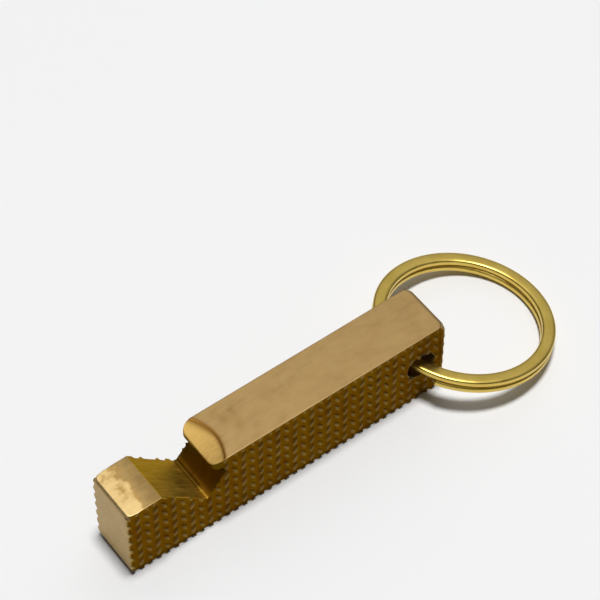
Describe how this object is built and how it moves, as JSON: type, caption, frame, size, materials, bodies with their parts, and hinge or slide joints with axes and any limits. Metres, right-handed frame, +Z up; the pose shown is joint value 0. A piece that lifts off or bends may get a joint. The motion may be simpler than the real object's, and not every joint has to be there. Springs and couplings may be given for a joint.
{
  "type": "keychain bottle opener",
  "caption": "Solid brass bar with knurled sides and a cap-lifting notch at one end, hung on a split key ring through a cross hole.",
  "frame": {"origin": "centre of the bar's flat underside", "axes": "+X along the bar from the cap notch towards the ring, +Y across the bar, +Z up from the underside to the notched top face"},
  "size_m": [0.089, 0.032, 0.017],
  "materials": {
    "bar_brass": "satin, brushed, with a darkened knurl",
    "ring_brass": "polished"
  },
  "bodies": {
    "opener": {"opener_body": "bar_brass"},
    "ring": {"split_ring": "ring_brass"}
  },
  "joints": [
    {"name": "ring_swing", "type": "hinge", "parent": "opener", "child": "ring", "pos_m": [0.0274, 0, 0.008], "axis": [0, -1, 0], "range_deg": [-143, 166]}
  ]
}
